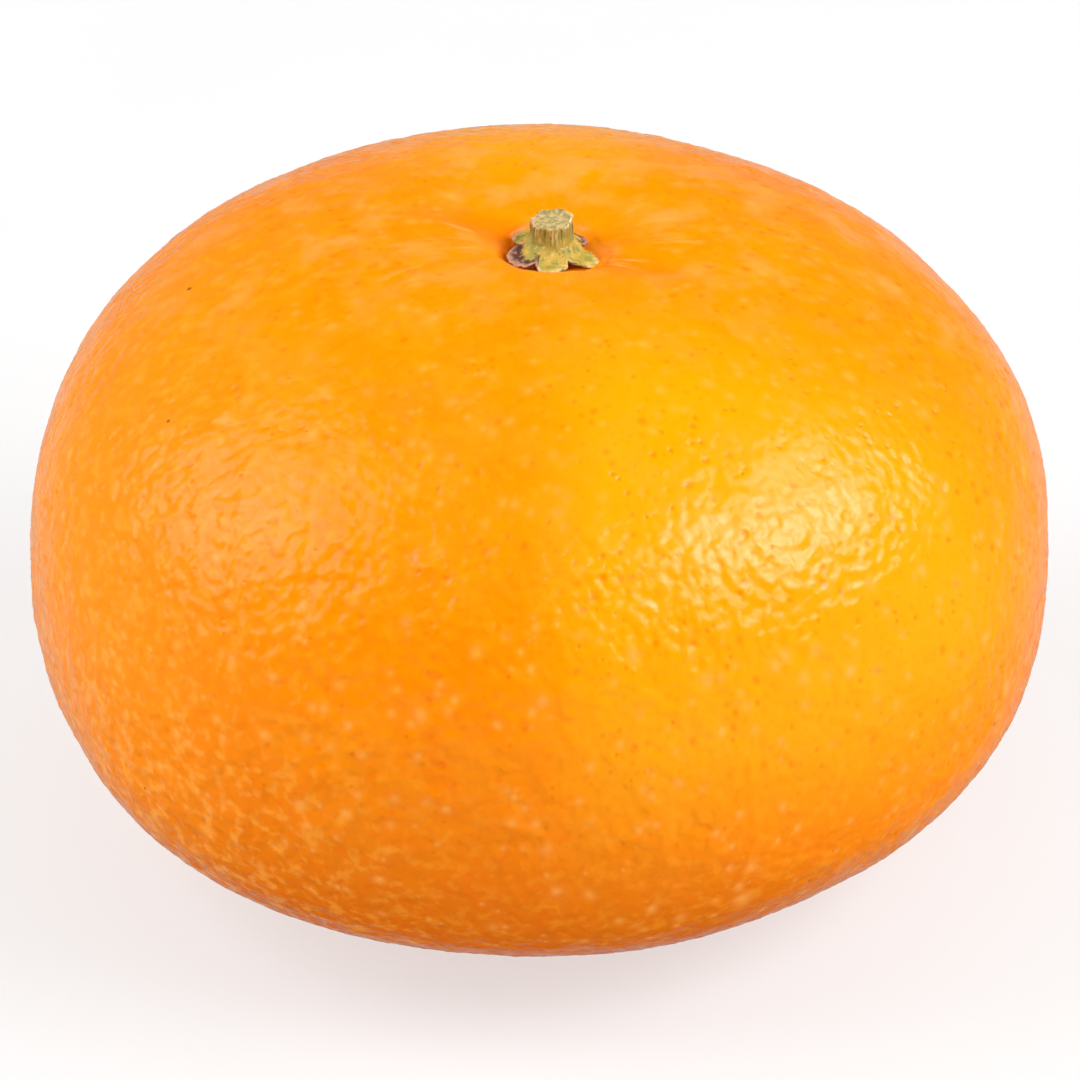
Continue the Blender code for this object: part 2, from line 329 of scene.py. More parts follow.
def make_object(name, points, faces):
    mesh = bpy.data.meshes.new(name)
    mesh.from_pydata([tuple(point) for point in points], [], faces)
    mesh.update()
    mesh.shade_smooth()
    thing = bpy.data.objects.new(name, mesh)
    bpy.context.scene.collection.objects.link(thing)
    return thing


def add_values(thing, name, values):
    """A number for each point of the mesh, which the material reads by name."""
    layer = thing.data.attributes.new(name, "FLOAT", "POINT")
    layer.data.foreach_set("value", np.asarray(values, dtype=np.float32))


def round_form(directions):
    """Points of the plain round form along unit directions from the middle of the widest ring."""
    across = np.hypot(directions[:, 0], directions[:, 1])
    rise = directions[:, 2]
    turn = np.arctan2(directions[:, 1], directions[:, 0])
    height = np.where(rise > 0, CROWN_HEIGHT, BASE_DEPTH)
    power = np.where(rise > 0, CROWN_POWER, BASE_POWER)
    reach = ((across / HALF_WIDTH) ** power + (np.abs(rise) / height) ** power) ** (-1 / power)
    side = (LEAN - LOW_LEAN * rise) * np.cos(turn) + OVAL * np.cos(2 * turn) + THREE_SIDED * np.cos(3 * turn)
    points = directions * reach[:, None]
    points[:, :2] *= (1 + side * across ** 2)[:, None]
    return points


def lumps(directions):
    """Low swells of the peel, and the flutes, as heights along the directions."""
    draw = np.random.default_rng(LUMP_SEED)
    height = np.zeros(len(directions))
    for _ in range(LUMP_COUNT):
        wave = draw.normal(size=3)
        wave *= draw.uniform(*LUMP_WAVES) / np.linalg.norm(wave)
        start = draw.uniform(0, math.tau)
        height += LUMP_HEIGHT * np.sin(directions @ wave + start) / math.sqrt(LUMP_COUNT / 2)
    turn = np.arctan2(directions[:, 1], directions[:, 0])
    across = np.hypot(directions[:, 0], directions[:, 1])
    flutes = np.abs(np.sin((turn - FLUTE_PHASE) * FLUTE_COUNT / 2)) - 0.5
    return height + FLUTE_DEPTH * across ** 2 * flutes


def signed_turn(turn, angle):
    """The way round from an angle in degrees, from minus pi to pi."""
    return (turn - math.radians(angle) + math.pi) % math.tau - math.pi


def pit_edge(turn):
    """Radius of the pit at angles round the button: it bulges out round each sepal."""
    edge = np.full_like(turn, PIT_RADIUS)
    for angle, reach, spread, *_ in SEPALS:
        off = signed_turn(turn, angle) / math.radians(spread)
        edge = np.maximum(edge, PIT_RADIUS + (reach + PIT_ROOM - PIT_RADIUS) * np.exp(-off ** 4))
    return edge


def furrows(away, turn):
    """Depth of the furrows at distances and angles from the button."""
    depth = np.zeros_like(away)
    for angle, deep, reach, width in FURROWS:
        off = turn - math.radians(angle)
        beside = np.where(np.cos(off) > 0, away * np.sin(off), away)
        along = np.clip((reach - away) / (reach - PIT_RADIUS), 0, 1)
        depth += deep * np.exp(-(beside / width) ** 2) * along * (2 - along)
    return depth


def stem_hollow(east, north):
    """Depth of the dip, the pit and the furrows at places measured from the button."""
    away = np.hypot(east, north)
    turn = np.arctan2(north, east)
    past_pit = away - pit_edge(turn)
    depth = DIP_DEPTH * np.exp(-(away / DIP_RADIUS) ** 2)
    depth += PIT_DEPTH * (1 - PIT_TILT * np.cos(turn)) / (1 + np.exp(past_pit / PIT_SLOPE))
    return depth + furrows(away, turn) * (past_pit > 0)


def uneven(points, size):
    """Noise from -1 to 1 with swells of about this size, at each point."""
    return np.array([noise.noise(Vector(point) / size) for point in points])


def skin(directions):
    """Points of the peel, without glands: flat spot on z = 0, stem end up."""
    points = round_form(directions)
    fine = sum(height * uneven(points, size) for size, height in UNEVEN_SIZES)
    points += directions * (lumps(directions) + fine)[:, None]
    upper = directions[:, 2] > 0
    points[upper, 2] -= stem_hollow(points[upper, 0] - BUTTON_X, points[upper, 1] - BUTTON_Y)
    lower = ~upper
    away = np.hypot(points[lower, 0], points[lower, 1])
    points[lower, 2] += SCAR_DEPTH * np.exp(-(away / SCAR_RADIUS) ** 4)
    points[:, 2] = np.maximum(points[:, 2] + SEAT_DEPTH, 0)
    return points


def directed_edges(faces):
    tail = np.concatenate([faces[:, i] for i in range(3)])
    head = np.concatenate([faces[:, (i + 1) % 3] for i in range(3)])
    return tail, head


def wrap(directions):
    """Triangles round all the directions. The last one is the bottom pole, which the rest unfolds from."""
    plane = directions[:-1, :2] / (1 + directions[:-1, 2:])
    faces = np.array(delaunay_2d_cdt([Vector(place) for place in plane], [], [], 0, CLOSEST_PLACES, True)[2])
    tail, head = directed_edges(faces)
    count = len(directions)
    rim = ~np.isin(tail * count + head, head * count + tail)
    pole = np.full(rim.sum(), count - 1)
    return np.vstack([faces, np.stack([head[rim], tail[rim], pole], axis=1)])


def scatter(count, seed):
    """Unit directions that spread evenly over the peel, closer together round the pit."""
    draw = np.random.default_rng(seed)
    tries = draw.normal(size=(count * TRIES_PER_GLAND, 3))
    tries /= np.linalg.norm(tries, axis=1)[:, None]
    points = round_form(tries)
    weight = (points ** 2).sum(axis=1) / HALF_WIDTH ** 2 * CLOSE_SHARE
    by_the_pit = np.hypot(points[:, 0] - BUTTON_X, points[:, 1] - BUTTON_Y) < CLOSE_RADIUS
    weight[by_the_pit & (points[:, 2] > 0)] = 1
    kept = tries[draw.uniform(size=len(tries)) < weight][:count - 1]
    return np.vstack([kept, (0, 0, -1)])


def even_out(directions):
    """Moves each direction towards the middle of its neighbours, a few times over."""
    for _ in range(EVENING_ROUNDS):
        tail, head = directed_edges(wrap(directions))
        points = round_form(directions)
        middle = np.stack([np.bincount(tail, points[head, i], len(points)) for i in range(3)], axis=1)
        middle /= np.linalg.norm(middle, axis=1)[:, None]
        directions = np.vstack([middle[:-1], directions[-1]])
    return directions


def gland_cells(directions):
    """A mesh with one point on each gland and one where three glands meet, and its triangles."""
    faces = wrap(directions)
    corners = directions[faces].sum(axis=1)
    corners /= np.linalg.norm(corners, axis=1)[:, None]
    count = len(directions)
    tail, head = directed_edges(faces)
    left = np.tile(np.arange(len(faces)), 3) + count
    order = np.argsort(tail * count + head)
    back = order[np.searchsorted((tail * count + head)[order], head * count + tail)]
    right = left[back]
    cells = np.stack([tail, right, left], axis=1)
    return np.vstack([directions, corners]), cells


def gland_depths(count, total, draw):
    """How deep each point of the peel lies in a gland. The first points are the middles of the glands."""
    gland = np.zeros(total)
    gland[:count] = GLAND_LEAST + GLAND_ADDED * draw.uniform(size=count) ** GLAND_SKEW
    big = draw.uniform(size=count) < BIG_GLAND_SHARE
    gland[:count][big] = draw.uniform(*BIG_GLAND_DEPTHS, size=big.sum())
    return gland


def pale_spots(count, total, faces, draw):
    """How pale each point is, for paler glands with painted glints: a few glands, and a little of what lies
    round them.
    """
    spot = np.zeros(total)
    chosen = draw.uniform(size=count) < SPOT_SHARE
    spot[:count] = chosen * draw.uniform(*SPOT_STRENGTHS, size=count)
    for corner in (1, 2):
        np.maximum.at(spot, faces[:, corner], SPOT_EDGE * spot[faces[:, 0]])
    return spot


def make_peel():
    """The peel with its glands, its middle over the origin. Returns it and how far it was moved for that."""
    centres = even_out(scatter(GLAND_COUNT, GLAND_SEED))
    directions, faces = gland_cells(centres)
    points = skin(directions)
    middle = (points.min(axis=0) + points.max(axis=0)) / 2
    points[:, :2] -= middle[:2]
    east, north = points[:, 0] + middle[0] - BUTTON_X, points[:, 1] + middle[1] - BUTTON_Y
    upper = points[:, 2] > SEAT_DEPTH
    away = np.where(upper, np.hypot(east, north), FAR_AWAY)
    turn = np.arctan2(north, east)
    open_peel = np.clip((away - SMOOTH_RADIUS) / SMOOTH_RADIUS, 0, 1) * (points[:, 2] > SEAT_EDGE)
    draw = np.random.default_rng(GLAND_SEED + 1)
    count, total = len(centres), len(points)
    gland = gland_depths(count, total, draw)
    ridge = np.zeros(total)
    ridge[count:] = draw.uniform(-1, 1, size=total - count)
    points += directions * ((RIDGE_HEIGHT * ridge - PIT_IN_GLAND * gland) * open_peel)[:, None]
    points[:, 2] = np.maximum(points[:, 2], 0)
    spot = pale_spots(count, total, faces, draw)
    speck = np.zeros(total)
    speck[:count] = draw.uniform(size=count) < SPECK_SHARE
    by_stem = BY_STEM_FRONT + (1 - BY_STEM_FRONT) * np.cos(turn) ** 2
    by_stem *= np.clip(BY_STEM_FULL - away / BY_STEM_REACH, 0, 1)
    by_stem *= np.clip((away - PIT_RADIUS) / BY_STEM_START, 0, 1)
    in_pit = 1 / (1 + np.exp((away - pit_edge(turn)) / PIT_SLOPE))
    peel = make_object("peel", points, faces.tolist())
    add_values(peel, "speck", speck)
    add_values(peel, "furrow", furrows(away, turn) / FURROW_FULL)
    add_values(peel, "gland", gland * open_peel)
    add_values(peel, "spot", spot * open_peel)
    add_values(peel, "by_stem", by_stem)
    # Painted shade in the pit, strongest on the left
    add_values(peel, "deep", np.where(upper, in_pit * (PIT_SHADE - PIT_SHADE_LEFT * np.cos(turn)), 0.0))
    return peel, middle


def round_noise(turn, waves, row):
    """Noise round a circle, without a seam."""
    return np.array([noise.noise(Vector((math.cos(t) * waves, math.sin(t) * waves, row))) for t in turn])


def layered(turn, layers, start=0.0):
    """Layers of noise round a circle, each with its strength, waves and row, added to a start."""
    for strength, waves, row in layers:
        start = start + strength * round_noise(turn, waves, row)
    return start


def flat_noise(east, north, size, row=0.0):
    """Noise at places on a plane, with swells of about this size."""
    return np.array([noise.noise(Vector((x, y, row)) / size) for x, y in zip(east, north)])


def ring_points(radius, turn, height):
    return np.stack([radius * np.cos(turn), radius * np.sin(turn), height], axis=1)


def sepal_values(turn):
    """Edge radius, rise, curl, tip and brownness of the sepals at angles round the stem."""
    edge = np.full_like(turn, HUB_RADIUS)
    rise, curl, tip, brown = (np.zeros_like(turn) for _ in range(4))
    for sepal, curled, tipped, dried in zip(SEPALS, SEPAL_CURLS, SEPAL_TIPS, SEPAL_BROWN):
        angle, reach, spread, blunt, lift = sepal
        off = signed_turn(turn, angle) / math.radians(spread)
        inside = np.abs(off) < 1
        near = np.clip(1 - np.abs(off), 0, 1)
        lobe = (reach - HUB_RADIUS) * (1 - np.clip(np.abs(off), 0, 1) ** blunt)
        edge = np.maximum(edge, HUB_RADIUS + lobe)
        rise += lift * near
        curl += np.where(inside, curled * off ** 2 * np.clip(near * CURL_FADE, 0, 1), 0)
        tip += np.where(inside, -tipped * off * np.clip(near * CURL_FADE, 0, 1), 0)
        brown += np.where(inside, dried * np.clip(near * BROWN_FADE, 0, 1), 0)
    return edge, rise, curl, tip, brown


def ring_faces(sides, rings, flip=False):
    """Quads between rings of points, each ring with the same count; point 0 is the middle."""
    i = np.arange(sides)
    j = (i + 1) % sides
    faces = []
    for ring in range(rings - 1):
        a = 1 + ring * sides
        b = a + sides
        quad = np.stack([a + i, b + i, b + j, a + j], axis=1)
        faces += (quad[:, ::-1] if flip else quad).tolist()
    for first, second in zip(i, j):
        faces.append([0, 1 + second, 1 + first] if flip else [0, 1 + first, 1 + second])
    return faces


def make_calyx(button):
    """The dried star: lobes with ragged edges, veins and curled sides, round a collar that meets the stem."""
    turn = np.arange(CALYX_SIDES) * math.tau / CALYX_SIDES
    edge, rise, curl, tip, brown = sepal_values(turn)
    lobe = np.clip((edge - HUB_RADIUS) / LOBE_FULL, 0, 1)
    edge = edge + RAGGED_EDGE * layered(turn, RAGGED_LAYERS) * (0.4 + lobe)
    vein = sum(strength * np.abs(round_noise(turn, waves, row)) for strength, waves, row in VEIN_LAYERS)
    top, under, dry, pale = [], [], [], []
    for ring in range(1, CALYX_RINGS + 1):
        share = (ring / CALYX_RINGS) ** CALYX_RING_POWER
        reach = edge * share
        rolled = np.clip((share - ROLL_START) / ROLL_WIDTH, 0, 1) ** 2
        collar = np.clip((COLLAR_OUTER - reach) / (COLLAR_OUTER - COLLAR_INNER), 0, 1)
        height = HUB_DOME * (1 - share ** 2) + rise * share ** 2 + (curl + tip) * share ** 3
        height = height + COLLAR_HEIGHT * collar ** COLLAR_POWER - VEIN_DEPTH * (1 - vein) * share
        crumple = flat_noise(reach * np.cos(turn), reach * np.sin(turn), CRUMPLE_SIZE)
        height = height + CRUMPLE_HEIGHT * crumple * np.clip(share * 2 - 0.8, 0, 1) * (0.5 + brown)
        thick = CALYX_THICKNESS * (1 - ROLL_THIN * rolled)
        top.append(ring_points(reach, turn, height - ROLL_SINK * CALYX_THICKNESS * rolled))
        under.append(ring_points(reach, turn, height - thick))
        dry.append(brown * np.clip(share * 2.6 - 1.35, 0, 1))
        pale.append(np.clip((share - 0.86) / 0.12, 0, 1) * (0.30 + 0.70 * lobe))
    crown = [(0, 0, HUB_DOME + COLLAR_HEIGHT)]
    points = np.vstack([crown, *top, [(0, 0, HUB_DOME - CALYX_THICKNESS)], *under])
    calyx = make_object("calyx_star", points + button + (0, 0, HUB_TOP - HUB_DOME), calyx_faces())
    add_values(calyx, "dry", np.concatenate([[0], *dry, [1], *[0.5 + 0.5 * ring for ring in dry]]))
    add_values(calyx, "pale", np.concatenate([[0], *pale, [0], *[0.6 * ring for ring in pale]]))
    return calyx


def calyx_faces():
    """Faces of the star's top, of its underside, and of the edge between them."""
    half = 1 + CALYX_RINGS * CALYX_SIDES
    faces = ring_faces(CALYX_SIDES, CALYX_RINGS)
    faces += [[half + corner for corner in face] for face in ring_faces(CALYX_SIDES, CALYX_RINGS, True)]
    rim = half - CALYX_SIDES
    for i in range(CALYX_SIDES):
        j = (i + 1) % CALYX_SIDES
        faces.append([rim + i, half + rim + i, half + rim + j, rim + j])
    return faces


def cut_ring(turn, edge_radius, share):
    """A ring of the stem's cut face, at a share of the way out: its radius, how sunk it is, and its grain."""
    evening = (STEM_RADIUS - STEM_ROUNDING) * (1 - share) * share * STEM_CUT_EVENING
    radius = edge_radius * share + evening
    sunk = np.clip((edge_radius - radius) / STEM_RIM, 0, 1)
    grain = flat_noise(radius * np.cos(turn), radius * np.sin(turn), STEM_GRAIN_SIZE, STEM_GRAIN_ROW)
    return radius, sunk, grain


def make_stem(button):
    """The cut stub: uneven fibres up its side, a dished cut face with a broken rim, and a flared root."""
    turn = np.arange(STEM_SIDES) * math.tau / STEM_SIDES
    tall = STEM_TOP - STEM_FOOT
    fibres = layered(turn, STEM_FIBRES, STEM_RIDGE_SHARE * np.sin(STEM_RIDGES * turn))
    rim_height = layered(turn, STEM_RIM_LAYERS)
    sides = STEM_RIM_FRONT + (1 - STEM_RIM_FRONT) * np.cos(turn) ** 2
    rings, cut, edge = [], [], []
    for level in range(STEM_LEVELS + 1):
        share = level / STEM_LEVELS
        height = -STEM_ROOT + (tall + STEM_ROOT) * share
        up = max(0.0, height / tall)
        flare = min((STEM_FOOT_RADIUS - STEM_RADIUS) * math.exp(-height / STEM_FLARE), STEM_FLARE_END)
        ridges = STEM_RIDGE_HEIGHT * fibres * (STEM_RIDGE_FOOT + (1 - STEM_RIDGE_FOOT) * up)
        wobble = STEM_WOBBLE * round_noise(turn, STEM_WOBBLE_WAVES, height * STEM_WOBBLE_RISE)
        rounded = np.clip((share - STEM_ROUND_START) / STEM_ROUND_WIDTH, 0, 1) ** 2
        radius = STEM_RADIUS + flare + ridges + wobble - STEM_ROUNDING * rounded
        rings.append(ring_points(radius, turn, height + rim_height * up ** 4))
        cut.append(np.zeros(STEM_SIDES))
        edge.append(sides * np.clip((share - STEM_RIM_START) / (1 - STEM_RIM_START), 0, 1))
    for ring in range(1, STEM_CUT_RINGS):
        inner, sunk, grain = cut_ring(turn, radius, 1 - ring / STEM_CUT_RINGS)
        height = tall + rim_height * (1 - sunk) - STEM_CUT_DISH * sunk ** 2 * (3 - 2 * sunk)
        rings.append(ring_points(inner, turn, height + STEM_GRAIN_HEIGHT * grain))
        cut.append(np.clip(sunk * 3, 0, 1))
        edge.append(sides * (1 - sunk))
    points = np.vstack([[(0, 0, tall - STEM_CUT_DISH)], *rings[::-1]])
    points[:, 2] += STEM_CUT_SLANT * points[:, 0] / STEM_RADIUS * np.clip(points[:, 2] / tall, 0, 1)
    stem = make_object("stem_stub", points + button + (0, 0, STEM_FOOT), ring_faces(STEM_SIDES, len(rings)))
    add_values(stem, "cut", np.concatenate([[1], *cut[::-1]]))
    add_values(stem, "edge", np.concatenate([[0], *edge[::-1]]))
    return stem


class Nodes:
    """Short calls for the nodes of a material or of the world."""

    def __init__(self, owner, place="Object"):
        owner.use_nodes = True
        self.owner = owner
        self.tree = owner.node_tree
        self.shader = self.tree.nodes.get("Principled BSDF")
        self.place = self.tree.nodes.new("ShaderNodeTexCoord").outputs[place]

    def put(self, socket, value):
        if isinstance(value, bpy.types.NodeSocket):
            self.tree.links.new(value, socket)
        else:
            socket.default_value = value

    def math(self, kind, first, second=0.0):
        node = self.tree.nodes.new("ShaderNodeMath")
        node.operation = kind
        for socket, value in zip(node.inputs, (first, second)):
            self.put(socket, value)
        return node.outputs[0]

    def ramp(self, value, low, high, out_low=0.0, out_high=1.0):
        """A smooth step of the value, from out_low at low to out_high at high."""
        node = self.tree.nodes.new("ShaderNodeMapRange")
        node.interpolation_type = "SMOOTHSTEP"
        for socket, number in zip(node.inputs, (value, low, high, out_low, out_high)):
            self.put(socket, number)
        return node.outputs[0]

    def noise(self, size, detail=2.0, rough=0.5, place=None):
        """Noise from 0 to 1 with swells of about this size in metres."""
        node = self.tree.nodes.new("ShaderNodeTexNoise")
        self.put(node.inputs["Vector"], place or self.place)
        self.put(node.inputs["Scale"], 1 / size)
        self.put(node.inputs["Detail"], detail)
        self.put(node.inputs["Roughness"], rough)
        return node.outputs["Fac"]

    def value(self, name):
        node = self.tree.nodes.new("ShaderNodeAttribute")
        node.attribute_name = name
        return node.outputs["Fac"]

    def mix(self, share, first, second):
        node = self.tree.nodes.new("ShaderNodeMix")
        node.data_type = "RGBA"
        self.put(node.inputs["Factor"], share)
        colours = [socket for socket in node.inputs if socket.type == "RGBA"]
        self.put(colours[0], first)
        self.put(colours[1], second)
        return [socket for socket in node.outputs if socket.type == "RGBA"][0]

    def vector(self, kind, first, second=None):
        node = self.tree.nodes.new("ShaderNodeVectorMath")
        node.operation = kind
        self.put(node.inputs[0], first)
        if second is not None:
            self.put(node.inputs[1], second)
        return node.outputs["Vector"]

    def part(self, axis):
        """One coordinate of the place on the object."""
        node = self.tree.nodes.new("ShaderNodeSeparateXYZ")
        self.put(node.inputs[0], self.place)
        return node.outputs[axis]

    def stretch(self, shares):
        """The place on the object with each axis times a share, which draws noise out along it."""
        return self.vector("MULTIPLY", self.place, shares)

    def turned(self, *angles):
        """The place on the object turned, so that the rows of a noise's net lie askew."""
        node = self.tree.nodes.new("ShaderNodeVectorRotate")
        node.rotation_type = "EULER_XYZ"
        self.put(node.inputs["Vector"], self.place)
        self.put(node.inputs["Rotation"], angles)
        return node.outputs[0]

    def near(self, spot, reach):
        """1 at a spot of the object, falling smoothly to 0 at the reach from it."""
        node = self.tree.nodes.new("ShaderNodeVectorMath")
        node.operation = "DISTANCE"
        self.put(node.inputs[0], self.place)
        self.put(node.inputs[1], spot)
        return self.ramp(node.outputs["Value"], 0.0, reach, 1.0, 0.0)

    def along(self, axis, low, high, out_low=0.0, out_high=1.0):
        """A smooth step along one axis of the place, from out_low at low to out_high at high."""
        return self.ramp(self.part(axis), low, high, out_low, out_high)

    def times(self, first, *others):
        """The product of sockets and numbers."""
        for other in others:
            first = self.math("MULTIPLY", first, other)
        return first

    def plus(self, first, *others):
        """The sum of sockets and numbers."""
        for other in others:
            first = self.math("ADD", first, other)
        return first

    def bump(self, height, distance, before=None):
        node = self.tree.nodes.new("ShaderNodeBump")
        self.put(node.inputs["Height"], height)
        self.put(node.inputs["Distance"], distance)
        if before:
            self.put(node.inputs["Normal"], before)
        return node.outputs["Normal"]

    def set(self, **values):
        """Plain values on the shader's own sockets, with an underscore for each space in a name."""
        for name, value in values.items():
            self.shader.inputs[name.replace("_", " ")].default_value = value

    def finish(self, colour, roughness, normal):
        self.put(self.shader.inputs["Base Color"], colour)
        self.put(self.shader.inputs["Roughness"], roughness)
        self.put(self.shader.inputs["Normal"], normal)
        return self.owner


def new_nodes(name):
    return Nodes(bpy.data.materials.new(name))


def stem_streaks(nodes, button):
    """Noise drawn out along lines from the button, for the wrinkles of the skin round it."""
    away = nodes.vector("SUBTRACT", nodes.place, tuple(button))
    flat = nodes.vector("MULTIPLY", away, (1, 1, 0))
    spokes = nodes.vector("MULTIPLY", nodes.vector("NORMALIZE", flat), (WRINKLE_SPOKES, WRINKLE_SPOKES, 0))
    reach = nodes.tree.nodes.new("ShaderNodeVectorMath")
    reach.operation = "LENGTH"
    nodes.put(reach.inputs[0], flat)
    rise = nodes.tree.nodes.new("ShaderNodeCombineXYZ")
    nodes.put(rise.inputs["Z"], nodes.times(reach.outputs["Value"], WRINKLE_RISE))
    return nodes.noise(1.0, 2.0, 0.5, nodes.vector("ADD", spokes, rise.outputs[0]))


def peel_ground(nodes):
    """Orange with a random yellow tone, painted light that makes it yellower on the right, at the top and
    behind the stem, and painted shade that makes it darker and redder low down.
    """
    # Painted light: yellower where the light falls on the right, at the top and behind the stem; the broad
    # noise is the peel's own random tone
    right = nodes.times(nodes.along("X", *RIGHT_LIGHT_X), nodes.along("Y", *RIGHT_LIGHT_Y), nodes.along("Z", *RIGHT_LIGHT_Z))
    behind = nodes.near(LIGHT_BEHIND_STEM, LIGHT_BEHIND_STEM_REACH)
    broad = nodes.times(nodes.math("SUBTRACT", nodes.noise(0.012, 2.0), 0.5), 0.5)
    yellow = nodes.plus(right, nodes.along("Z", *TOP_LIGHT_Z), behind, broad)
    colour = nodes.mix(yellow, PEEL_ORANGE, PEEL_YELLOW_AND_LIGHT)
    fleck = nodes.ramp(nodes.noise(0.0022, 3.0), 0.35, 0.7, 0.0, 0.30)
    colour = nodes.mix(fleck, colour, PEEL_FLECK)
    # Painted shade: darker and redder low down, less so on the right
    red = nodes.times(nodes.along("Z", *BASE_SHADE_Z), nodes.along("X", *BASE_SHADE_X))
    return nodes.mix(red, colour, PEEL_BASE_SHADE)


def peel_patches(nodes, colour, pit):
    """Darker glands, painted sheen on the left rim, mottled patches low on the left that paint broken sheen
    in peach, and wide patches of painted sheen by the stem.
    """
    colour = nodes.mix(pit, colour, nodes.mix(0.50, colour, PEEL_GLAND))
    # Painted sheen: a paler, peach left rim
    colour = nodes.mix(nodes.along("X", *LEFT_RIM_SHEEN_X), colour, PEEL_LEFT_RIM_SHEEN)
    # Mottled patches in the peel's own yellow tone, turning to painted broken sheen in peach low on the left
    mottle_and_sheen = nodes.ramp(nodes.noise(0.00095, 2.0, 0.5), 0.46, 0.70)
    patchy = nodes.times(nodes.along("Z", *PATCH_Z), nodes.along("X", *PATCH_X))
    patchy = nodes.plus(patchy, nodes.along("X", *PATCH_LEFT_X))
    colour = nodes.mix(nodes.times(mottle_and_sheen, patchy), colour, nodes.mix(patchy, *PEEL_PATCHES_AND_SHEEN))
    # Painted sheen: wide peach patches on the crown, by the stem
    crown_sheen = nodes.ramp(nodes.noise(0.0034, 2.0, 0.5), 0.46, 0.74)
    crown_sheen = nodes.times(crown_sheen, nodes.along("Z", *CROWN_SHEEN_Z), nodes.along("Y", *CROWN_SHEEN_Y))
    return nodes.mix(crown_sheen, colour, PEEL_CROWN_SHEEN)


def peel_marks(nodes, colour, wrinkles, by_stem):
    """Painted shade in the furrows, painted sheen streaks by the stem, pale spots with painted glints on
    them, dark specks, and painted shade in the pit.
    """
    # Painted shade: a darker, redder orange in the furrows
    furrow = nodes.ramp(nodes.value("furrow"), 0.30, 1.3, 0.0, 0.50)
    colour = nodes.mix(furrow, colour, PEEL_FURROW_SHADE)
    # Painted sheen: pale peach streaks along the wrinkles by the stem
    sheen_streak = nodes.times(nodes.ramp(wrinkles, 0.50, 0.72), by_stem)
    sheen_streak = nodes.times(sheen_streak, nodes.ramp(nodes.noise(0.0035, 1.0), 0.40, 0.60, 0.0, 0.65))
    colour = nodes.mix(sheen_streak, colour, PEEL_STREAK_SHEEN)
    # Pale spots: paler glands with painted glints on them
    spot = nodes.times(nodes.ramp(nodes.value("spot"), 0.0, 1.0), nodes.along("Z", *SPOT_AND_GLINT_Z))
    colour = nodes.mix(spot, colour, PEEL_SPOT_AND_GLINT)
    speck = nodes.ramp(nodes.value("speck"), 0.45, 0.95, 0.0, 0.85)
    colour = nodes.mix(speck, colour, PEEL_SPECK)
    # Painted shade in the pit round the button
    deep = nodes.ramp(nodes.value("deep"), 0.25, 1.0, 0.0, 0.85)
    return nodes.mix(deep, colour, PEEL_PIT_SHADE)


def peel_relief(nodes, pit, wrinkles, by_stem):
    """Fine bumps, calmer where the peel turns away from the light."""
    aside = nodes.math("ABSOLUTE", nodes.part("X"))
    calm = nodes.times(nodes.along("Z", *CALM_BASE_Z), nodes.along("X", *CALM_RIGHT_X))
    calm = nodes.times(calm, nodes.ramp(aside, *CALM_SIDES_X), nodes.along("Z", *CALM_CROWN_Z))
    small = nodes.noise(0.00082, 0.5, 0.4, nodes.turned(0.7, 0.5, 0.3))
    swell = nodes.noise(0.0026, 0.0, 0.5, nodes.turned(0.4, 0.9, 1.1))
    normal = nodes.bump(nodes.times(small, calm), SMALL_BUMP)
    normal = nodes.bump(nodes.times(swell, calm), SWELL_BUMP, normal)
    normal = nodes.bump(nodes.math("SUBTRACT", 1.0, pit), GLAND_BUMP, normal)
    return nodes.bump(nodes.times(wrinkles, by_stem), WRINKLE_BUMP, normal)


def peel_material(button):
    """Waxy orange skin."""
    nodes = new_nodes("peel")
    pit = nodes.ramp(nodes.value("gland"), 0.20, 1.35)
    wrinkles = stem_streaks(nodes, button)
    by_stem = nodes.value("by_stem")
    colour = peel_patches(nodes, peel_ground(nodes), pit)
    colour = peel_marks(nodes, colour, wrinkles, by_stem)
    roughness = nodes.ramp(nodes.noise(0.003, 2.0), 0.2, 0.8, *PEEL_ROUGHNESS)
    nodes.set(Specular_IOR_Level=PEEL_SPECULAR, Specular_Tint=PEEL_SPECULAR_TINT)
    nodes.set(Subsurface_Weight=PEEL_UNDER_WEIGHT, Subsurface_Radius=PEEL_UNDER_RADIUS)
    nodes.set(Subsurface_Scale=PEEL_UNDER_SCALE)
    return nodes.finish(colour, roughness, peel_relief(nodes, pit, wrinkles, by_stem))


